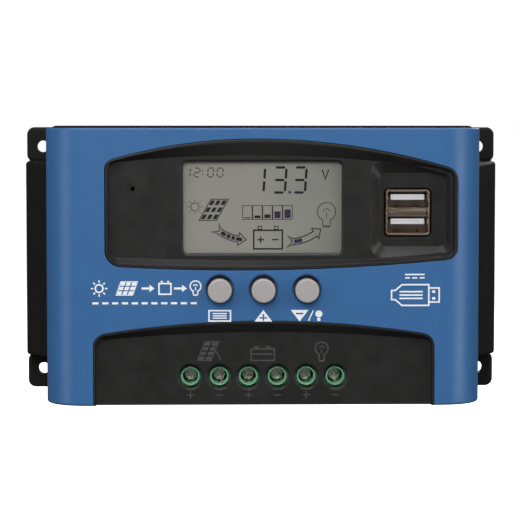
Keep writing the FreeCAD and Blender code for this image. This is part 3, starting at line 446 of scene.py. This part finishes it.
def metal(name, color, roughness, brush=AS_IS, size=0.35, depth=0.004, stain=None):
    """Metal with brush or drawing marks along one axis, uneven polish and slight staining."""
    look = Look(name, color, roughness, 1.0)
    look.soften(0.08)
    marks = look.noise(size, 3.0, brush, 0.6)
    look.relief(marks, depth)
    look.uneven_sheen(look.noise(1.6, 3.0, brush), 0.1)
    look.tint(look.remap(marks, 0.4, 0.7, 0.0, 0.4), shade(color, 0.8))
    look.tint(look.remap(look.noise(4.0, 4.0), 0.5, 0.75, 0.0, 0.35), stain or shade(color, 0.6))
    return look.material


def circuit_board(name):
    """Green solder mask over woven glass, with faint copper tracks beneath."""
    look = Look(name, (0.012, 0.11, 0.045), 0.3)
    weave = look.product(look.waves(0.45, "X"), look.waves(0.45, "Z"))
    runs = look.product(look.waves(2.4, "X", 2.0), look.waves(5.2, "Z", 1.5))
    tracks = look.remap(runs, 0.35, 0.42)
    look.relief(weave, 0.004)
    look.relief(tracks, 0.03)
    look.tint(tracks, (0.03, 0.2, 0.08))
    look.tint(look.remap(weave, 0.3, 1.0, 0.0, 0.25), (0.02, 0.16, 0.07))
    look.uneven_sheen(look.noise(6.0, 3.0), 0.06)
    return look.material


def liquid_crystal(name):
    """The grey-green cell: darker to the right, mottled, with the diffuser's fine sparkle."""
    look = Look(name, (0.285, 0.285, 0.245), 0.42)
    low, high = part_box("lcd_glass")
    split = look.node("SeparateXYZ")
    look.link(look.place, split.inputs[0])
    across = look.remap(split.outputs["X"], low[0], high[0])
    look.tint(look.remap(across, 0.45, 1.0, 0.0, 0.9), (0.165, 0.17, 0.15))
    look.tint(look.remap(look.noise(24.0, 2.0), 0.4, 0.65, 0.0, 0.4), (0.31, 0.315, 0.275))
    look.tint(look.remap(look.noise(0.18, 2.0), 0.45, 0.75, 0.0, 0.3), (0.2, 0.2, 0.17))
    look.relief(look.noise(0.2, 2.0), 0.004)
    look.uneven_sheen(look.noise(8.0, 2.0), 0.04)
    return look.material


def clear_window(name):
    """Thin clear acrylic: mostly see-through, with a faint film of dust and fine scratches."""
    look = Look(name, (0.25, 0.26, 0.25), 0.06, Alpha=0.04, IOR=1.49)
    look.relief(look.noise(18.0, 1.0), 0.02, 0.4)
    look.relief(look.noise(0.4, 2.0, (0.05, 1, 1)), 0.001, 0.5)
    look.tint(look.remap(look.noise(3.0, 4.0), 0.5, 0.8, 0.0, 0.5), (0.5, 0.5, 0.48))
    look.uneven_sheen(look.noise(5.0, 4.0), 0.03)
    return look.material


def wound_copper(name):
    """Enamelled copper wire: glossy, darker where the enamel is thick."""
    look = Look(name, (0.62, 0.2, 0.06), 0.25, 0.9, Coat_Weight=0.6, Coat_Roughness=0.15)
    look.tint(look.remap(look.noise(1.2, 3.0), 0.4, 0.7, 0.0, 0.7), (0.4, 0.1, 0.03))
    look.relief(look.noise(0.5, 2.0), 0.01)
    look.uneven_sheen(look.noise(0.8, 2.0), 0.08)
    return look.material


def powder_core(name):
    """Sintered powder: dark, speckled and slightly rough."""
    look = Look(name, (0.05, 0.06, 0.055), 0.6)
    look.relief(look.noise(0.2, 4.0), 0.02)
    look.tint(look.remap(look.noise(0.25, 3.0), 0.5, 0.7, 0.0, 0.7), (0.13, 0.14, 0.13))
    look.uneven_sheen(look.noise(1.0, 3.0), 0.08)
    return look.material


def striped_rubber(name):
    """Elastomer strip with alternating dark conducting layers."""
    look = Look(name, (0.08, 0.08, 0.085), 0.6)
    look.tint(look.remap(look.waves(0.2, "X"), 0.4, 0.6, 0.0, 0.8), (0.3, 0.3, 0.32))
    look.relief(look.noise(0.15, 2.0), 0.01)
    return look.material


def ink(name, color, roughness, **sockets):
    """Pad-printed ink: slightly uneven coverage with tiny pinholes."""
    look = Look(name, color, roughness, **sockets)
    look.tint(look.remap(look.noise(0.35, 3.0), 0.45, 0.75, 0.0, 0.5), shade(color, 0.85))
    look.tint(look.remap(look.cells(0.55), 0.08, 0.03, 0.0, 0.5), shade(color, 0.55))
    look.relief(look.noise(0.2, 2.0), 0.006)
    look.uneven_sheen(look.noise(1.0, 2.0), 0.06)
    return look.material


# each material slot's maker, with its colour, roughness and other settings
SLOT_LOOKS = {
    "base_plastic": (moulded, (0.0065, 0.0065, 0.006), 0.55,
                     {"grain": 0.4, "depth": 0.02, "wear": 0.12, "Specular_IOR_Level": 0.15}),
    "cover_plastic": (moulded, (0.03, 0.128, 0.32), 0.42,
                      {"grain": 0.24, "depth": 0.011, "wear": 0.2, "edge": 0.25}),
    "bezel_plastic": (moulded, (0.0125, 0.0122, 0.0118), 0.36,
                      {"grain": 0.2, "depth": 0.008, "wear": 0.12}),
    "window_plastic": (clear_window,),
    "lcd_glass": (liquid_crystal,),
    "light_guide": (smooth_plastic, (0.75, 0.76, 0.74), 0.4),
    "dark_rubber": (striped_rubber,),
    "circuit_board": (circuit_board,),
    "usb_steel": (metal, (0.6, 0.47, 0.37), 0.26,
                  {"brush": (0.08, 1, 1), "stain": (0.3, 0.17, 0.09)}),
    "white_plastic": (smooth_plastic, (0.62, 0.62, 0.64), 0.4),
    "contact_gold": (metal, (0.83, 0.6, 0.25), 0.25, {"brush": (1, 0.1, 1)}),
    "ferrite": (powder_core,),
    "black_nylon": (moulded, (0.02, 0.02, 0.02), 0.5, {"grain": 0.3}),
    "green_nylon": (moulded, (0.2, 0.46, 0.28), 0.3,
                    {"grain": 0.5, "depth": 0.006, "Subsurface_Weight": 0.3,
                     "Subsurface_Scale": 0.001}),
    "tinned_copper": (metal, (0.66, 0.65, 0.63), 0.35, {"brush": (1, 0.15, 1)}),
    "epoxy": (moulded, (0.022, 0.022, 0.024), 0.55, {"grain": 0.2, "depth": 0.01}),
    "thermal_rubber": (moulded, (0.3, 0.33, 0.36), 0.7, {"grain": 0.35}),
    "zinc_steel": (metal, (0.62, 0.63, 0.64), 0.3, {"size": 0.2}),
    "heatsink_aluminium": (metal, (0.62, 0.63, 0.64), 0.36,
                           {"brush": (1, 1, 0.03), "size": 0.5, "depth": 0.01}),
    "enamelled_copper": (wound_copper,),
    "can_aluminium": (metal, (0.7, 0.7, 0.71), 0.25, {"brush": (1, 0.08, 1)}),
    "sleeve_film": (smooth_plastic, (0.02, 0.025, 0.06), 0.3),
    "fuse_plastic": (smooth_plastic, (0.6, 0.16, 0.02), 0.25),
    "led_lens": (smooth_plastic, (0.6, 0.05, 0.03), 0.25),
    "button_plastic": (smooth_plastic, (0.41, 0.385, 0.38), 0.38),
    "terminal_steel": (metal, (0.8, 0.84, 0.74), 0.32, {"size": 0.25, "stain": (0.45, 0.5, 0.38)}),
}


def slot_look(slot):
    make, *values = SLOT_LOOKS[slot]
    settings = values.pop() if values and isinstance(values[-1], dict) else {}
    return make(slot, *values, **settings)


def paint_frame():
    """Gives every CAD node the look of its material slot."""
    looks = {slot: slot_look(slot) for slot in SLOT_LOOKS}
    for part in frame["record"]["subparts"]:
        data = frame["nodes"][part["node"]].data
        data.materials.clear()
        data.materials.append(looks[part["material_slot"]])


# ---- the display --------------------------------------------------------------------------
# Places are (x, z) from the centre of the cell. A digit's size is its height, width and stroke.
DIGIT_LEAN = 0.07
SEGMENTS_LIT = {"1": "bc", "3": "abcdg", "0": "abcdef", "2": "abdeg"}
READOUT = (("1", -4.0), ("3", 3.0), ("3", 9.6))
READOUT_Z = 4.9
READOUT_SIZE = (8.2, 3.9, 0.8)
DECIMAL_POINT = (8.5, 5.0, 0.42)
VOLT_SIGN = ((19.2, 12.4), (20.2, 9.3), (21.3, 12.4))
CLOCK = "1200"
CLOCK_PLACE = (-26.0, 10.0)
CLOCK_SIZE = (2.9, 1.8, 0.42)
CLOCK_PITCH = 3.1
COLON_ROOM = 1.4
COLON = ((-20.1, 10.8, 0.24), (-20.1, 12.1, 0.24))
LEVELS = (0.3, 0.85, 1.2, 2.2, 2.8)
LEVELS_LEFT = -7.0
LEVEL_PITCH = 3.3
DARK_LEVELS = 3
SUN = (-22.6, 0.2)
LAMP = (20.6, -1.4)
BATTERY_SIGN_Z = -10.6


def segment(start, end, width):
    """One tapered bar of a digit."""
    a, b = Vector(start), Vector(end)
    along = (b - a).normalized()
    side = Vector((-along.y, along.x)) * width / 2
    gap, tip = width * 0.5, width * 0.95
    rows = [a + along * gap, a + along * tip, b - along * tip, b - along * gap]
    return [((p.x + side.x * k, p.y + side.y * k), (p.x - side.x * k, p.y - side.y * k))
            for p, k in zip(rows, (0.5, 1.0, 1.0, 0.5))]


def digit(character, x, z, size):
    """A leaning seven-segment numeral with its lower left corner at x, z."""
    height, width, thick = size
    middle = height / 2

    def lean(corner):
        return x + corner[0] + corner[1] * DIGIT_LEAN, z + corner[1]

    ends = {
        "a": ((0, height), (width, height)),
        "b": ((width, middle), (width, height)),
        "c": ((width, 0), (width, middle)),
        "d": ((0, 0), (width, 0)),
        "e": ((0, 0), (0, middle)),
        "f": ((0, middle), (0, height)),
        "g": ((0, middle), (width, middle)),
    }
    return [segment(*map(lean, ends[name]), thick) for name in SEGMENTS_LIT[character]]


def lcd_marks(dark_ink, tinted_ink, faint_ink):
    """Everything that the display shows, drawn on the cell's front."""
    mid = centre("lcd_glass")
    surface = node_box("lcd_glass")[0].y
    x, z = mid.x, mid.z
    dark, tinted = [], []
    for figure, place in READOUT:
        dark += digit(figure, x + place, z + READOUT_Z, READOUT_SIZE)
    dark.append(disc(x + DECIMAL_POINT[0], z + DECIMAL_POINT[1], DECIMAL_POINT[2]))
    dark.append(stroke([(x + px, z + pz) for px, pz in VOLT_SIGN], 0.42))
    dark += solar_panel(x - 21.2, z - 4.2, 5.7, 6.9, 3.9, 3, 3, 0.17)

    lefts = [x + LEVELS_LEFT + LEVEL_PITCH * i for i in range(len(LEVELS))]
    for left in lefts:
        dark.append(frame_of(left + 0.05, left + 3.15, z - 3.9, z + 0.6, 0.2))
    for i, (left, level) in enumerate(zip(lefts, LEVELS)):
        bars = dark if i < DARK_LEVELS else tinted
        bars.append(tile(left + 0.6, left + 2.6, z - 3.5, z - 3.5 + level))

    charging, charged = curved_arrow(x - 5.8, z + 4.45, 15.05, 231.3, 38.7,
                                     ((0.2, 0.42), (0.47, 0.64), (0.69, 0.84), (0.89, 1.15)))
    feeding, fed = curved_arrow(x + 8.7, z + 2.85, 14.1, -90, 45, ((0.15, 0.45),))
    tinted += charging + fed
    dark += feeding + charged

    dark.append(frame_of(x - 3.3, x + 6.1, z - 13.6, z - 7.5, 0.5))
    for post in (-1.3, 4.1):
        dark.append(frame_of(x + post - 0.6, x + post + 0.6, z - 7.2, z - 6.2, 0.28))
    dark += plus(x - 1.0, z + BATTERY_SIGN_Z, 1.1, 0.42)
    dark += minus(x + 3.8, z + BATTERY_SIGN_Z, 1.1, 0.42)

    faint = sun(x + SUN[0], z + SUN[1], 1.3, 0.3, (1.75, 2.55), 0.22)
    faint += bulb(x + LAMP[0], z + LAMP[1], 3.0, 0.34, 5.2)
    for i, figure in enumerate(CLOCK):
        place = CLOCK_PLACE[0] + CLOCK_PITCH * i + (COLON_ROOM if i > 1 else 0)
        faint += digit(figure, x + place, z + CLOCK_PLACE[1], CLOCK_SIZE)
    for px, pz, radius in COLON:
        faint.append(disc(x + px, z + pz, radius))

    printed("lcd_tinted_marks", tinted, surface, tinted_ink)
    printed("lcd_segments", dark, surface, dark_ink)
    printed("lcd_faint_marks", faint, surface, faint_ink)


# ---- printing on the cover and the panel --------------------------------------------------
BUTTON_SIGN_DROP = 8.3  # from a button's centre down to its symbol
CHARGING_ROW_LEFT = -56.6
CHARGING_ROW_RISE = 0.7
PLUG_SHIFT = (1.95, -1.6)  # from the sockets' middle and the buttons' row to the plug's middle
TERMINAL_SIGN_DROP = 6.1


def cover_marks(white):
    """White symbols on the blue cover: beside and under the buttons, and under the USB sockets."""
    surface = node_box("front_cover")[0].y
    menu, up, down = (centre(f"button_cap_{name}") for name in ("menu", "up", "down"))
    z = menu.z - BUTTON_SIGN_DROP
    strips = [frame_of(menu.x - 3.5, menu.x + 3.5, z - 1.7, z + 1.7, 0.5)]
    for row in (-0.75, 0.0, 0.75):
        strips.append(tile(menu.x - 2.3, menu.x + 2.3, z + row - 0.2, z + row + 0.2))
    strips += triangle_with(up.x, z, 1)
    strips += triangle_with(down.x - 2.4, z, -1)
    strips.append(stroke([(down.x + 0.5, z - 1.7), (down.x + 2.1, z + 1.7)], 0.42))
    strips.append(disc(down.x + 3.9, z + 0.6, 1.15))
    strips.append(tile(down.x + 3.4, down.x + 4.4, z - 1.75, z - 0.75))
    strips += charging_row(CHARGING_ROW_LEFT, menu.z + CHARGING_ROW_RISE)
    low, high = node_box("usb_shell")
    strips += plug_mark((low.x + high.x) / 2 + PLUG_SHIFT[0], menu.z + PLUG_SHIFT[1])
    printed("cover_marks", strips, surface, white)


def charging_row(x, z):
    """Sunlight, a solar panel, a battery and a lamp, joined by arrows, over a row of dashes."""
    strips = sun(x + 2.8, z, 1.25, 0.5, (1.9, 2.7), 0.45)
    strips += solar_panel(x + 8.3, z - 2.2, 5.4, 4.4, 1.6, 3, 3, 0.12)
    for tail in (x + 16.6, x + 27.2):
        strips.append(tile(tail, tail + 2.6, z - 0.35, z + 0.35))
        strips.append([((tail + 2.6, z - 1.2), (tail + 2.6, z + 1.2)),
                       ((tail + 4.2, z), (tail + 4.2, z))])
    strips.append(frame_of(x + 22.3, x + 26.2, z - 1.9, z + 1.6, 0.5))
    for post in (23.2, 25.3):
        strips.append(tile(x + post - 0.35, x + post + 0.35, z + 1.95, z + 2.5))
    strips += bulb(x + 34.2, z + 0.7, 1.75, 0.45, 3.1)
    for i in range(11):
        strips.append(tile(x + 0.6 + 3.2 * i, x + 2.6 + 3.2 * i, z - 5.2, z - 4.5))
    return strips


def plug_mark(x, z):
    """A plain plug outline with a cable stub, under a direct-current sign."""
    left, right = x - 7.6, x + 4.6
    outline = [(right, z - 3.4), (left + 3.4, z - 3.4), (left + 1.2, z - 1.5), (left, z - 1.5),
               (left, z + 1.5), (left + 1.2, z + 1.5), (left + 3.4, z + 3.4), (right, z + 3.4)]
    nose = [(right + 0.25, z + 2.3), (right + 3.4, z + 2.3), (right + 3.4, z - 2.3),
            (right + 0.25, z - 2.3)]
    strips = [stroke(outline, 0.5, closed=True), stroke(nose, 0.5)]
    for way in (-1, 1):
        strips.append(tile(right + 1.1, right + 2.1, z + way * 1.1 - 0.4, z + way * 1.1 + 0.4))
    for shift in (-1.1, 0.0, 1.1):
        strips.append(tile(x - 5.0, x + 2.6, z - 0.25 + shift, z + 0.25 + shift))
    sign = z + 6.0
    strips.append(tile(x - 3.2, x + 3.2, sign + 0.5, sign + 0.95))
    for i in range(3):
        strips.append(tile(x - 3.2 + 2.4 * i, x - 1.6 + 2.4 * i, sign - 0.6, sign - 0.15))
    return strips


def terminal_marks(grey):
    """Grey symbols over the three pairs of terminals, and the polarity under each screw."""
    surface = node_box("front_cover")[0].y + PANEL_DROP
    screws = [centre(f"terminal_screw_{i + 1}") for i in range(6)]
    z = screws[0].z
    strips = []
    for i, screw in enumerate(screws):
        sign = minus if i % 2 else plus
        strips += sign(screw.x, z - TERMINAL_SIGN_DROP, 1.15, 0.34)
    solar, battery, load = ((screws[i].x + screws[i + 1].x) / 2 for i in (0, 2, 4))
    strips += solar_panel(solar - 2.6, z + 5.3, 4.6, 6.2, 2.7, 4, 2, 0.14)
    strips.append(stroke([(solar + 3.5, z + 8.6), (solar + 5.3, z + 5.4)], 0.36))
    left, right = battery - 3.8, battery + 3.8
    strips.append(frame_of(left, right, z + 5.3, z + 9.1, 0.42))
    strips.append(tile(left + 0.5, right - 0.5, z + 7.2, z + 7.6))
    for post in (-2.1, 1.8):
        strips.append(tile(battery + post - 0.8, battery + post + 0.8, z + 9.5, z + 10.0))
    strips += bulb(load + 0.3, z + 9.2, 2.1, 0.4, 4.4)
    printed("terminal_marks", strips, surface, grey)


# ---- stage --------------------------------------------------------------------------------
FLOOR_Z = -0.12
FLOOR_SIZE = 12.0
AMBIENT = 0.1
AIM = Vector((-0.00135, -0.045, 0.0015))
CAMERA_AZIMUTH = -1.352
CAMERA_ELEVATION = 3.388
CAMERA_DISTANCE = 0.6659
CAMERA_LENS = 141.3
CAMERA_SENSOR = 36.0
LIGHT_AIM = Vector((0, -0.03, 0))
# azimuth and elevation (degrees), distance and size (metres), power (watts)
LIGHTS = {
    "key_above": (-20, 40, 1.0, (0.8, 0.5), 4.6),
    "face": (-6, 25, 1.4, (0.9, 0.36), 5.0),
    "strip_overhead": (0, 80, 0.7, (0.9, 0.16), 2.0),
    "fill_below": (8, -38, 0.6, (0.6, 0.25), 0.6),
    "strip_left": (-64, 4, 0.9, (0.24, 1.1), 2.6),
    "strip_right": (62, 4, 0.9, (0.34, 1.1), 4.2),
    "rear": (160, 25, 1.2, (0.8, 0.6), 7.0),
}


def aimed(name, data, aim, azimuth, elevation, distance):
    """Adds a lamp or a camera that faces aim from an azimuth and an elevation."""
    a, e = math.radians(azimuth), math.radians(elevation)
    away = Vector((math.sin(a) * math.cos(e), -math.cos(a) * math.cos(e), math.sin(e)))
    obj = bpy.data.objects.new(name, data)
    obj.location = aim + away * distance
    obj.rotation_euler = (aim - obj.location).to_track_quat("-Z", "Y").to_euler()
    bpy.context.scene.collection.objects.link(obj)
    return obj


def lights():
    for name, (azimuth, elevation, distance, size, power) in LIGHTS.items():
        data = bpy.data.lights.new(name, "AREA")
        data.shape = "RECTANGLE"
        data.size, data.size_y = size
        data.energy = power
        aimed(name, data, LIGHT_AIM, azimuth, elevation, distance)


def world():
    """A studio that looks white to the camera and gives the object a little ambient light."""
    studio = bpy.data.worlds.new("studio")
    bpy.context.scene.world = studio
    studio.use_nodes = True
    tree = studio.node_tree
    background = tree.nodes["Background"]
    background.inputs["Color"].default_value = (1, 1, 1, 1)
    path = tree.nodes.new("ShaderNodeLightPath")
    span = tree.nodes.new("ShaderNodeMapRange")
    span.inputs["To Min"].default_value = AMBIENT
    span.inputs["To Max"].default_value = 1.0
    tree.links.new(path.outputs["Is Camera Ray"], span.inputs["Value"])
    tree.links.new(span.outputs["Result"], background.inputs["Strength"])


def floor():
    """White paper under the object, which the object's surfaces don't mirror."""
    half = FLOOR_SIZE / 2
    corners = [(x, y, FLOOR_Z) for x, y in ((-half, -half), (half, -half), (half, half), (-half, half))]
    data = bpy.data.meshes.new("floor")
    data.from_pydata(corners, [], [(0, 1, 2, 3)])
    obj = bpy.data.objects.new("floor", data)
    bpy.context.scene.collection.objects.link(obj)
    look = Look("floor_paper", (0.85, 0.85, 0.85), 0.9)
    look.shader.inputs["Emission Color"].default_value = (1, 1, 1, 1)
    look.shader.inputs["Emission Strength"].default_value = 1.0
    look.tint(look.remap(look.noise(30.0, 3.0), 0.4, 0.7, 0.0, 0.3), (0.83, 0.83, 0.83))
    data.materials.append(look.material)
    obj.visible_diffuse = False
    obj.visible_glossy = False


def camera():
    data = bpy.data.cameras.new("camera")
    data.lens = CAMERA_LENS
    data.sensor_width = CAMERA_SENSOR
    eye = aimed("camera", data, AIM, CAMERA_AZIMUTH, CAMERA_ELEVATION, CAMERA_DISTANCE)
    bpy.context.scene.camera = eye


def build():
    camera()
    lights()
    world()
    floor()
    paint_frame()
    lcd_marks(ink("lcd_ink", (0.008, 0.008, 0.012), 0.7, Specular_IOR_Level=0.05),
              ink("lcd_tinted_ink", (0.028, 0.016, 0.06), 0.7, Specular_IOR_Level=0.05),
              ink("lcd_faint_ink", (0.075, 0.07, 0.05), 0.7, Specular_IOR_Level=0.1))
    cover_marks(ink("white_ink", (0.88, 0.91, 0.94), 0.5))
    terminal_marks(ink("grey_ink", (0.06, 0.06, 0.062), 0.5))
    bpy.context.scene.view_settings.view_transform = "Standard"


build()
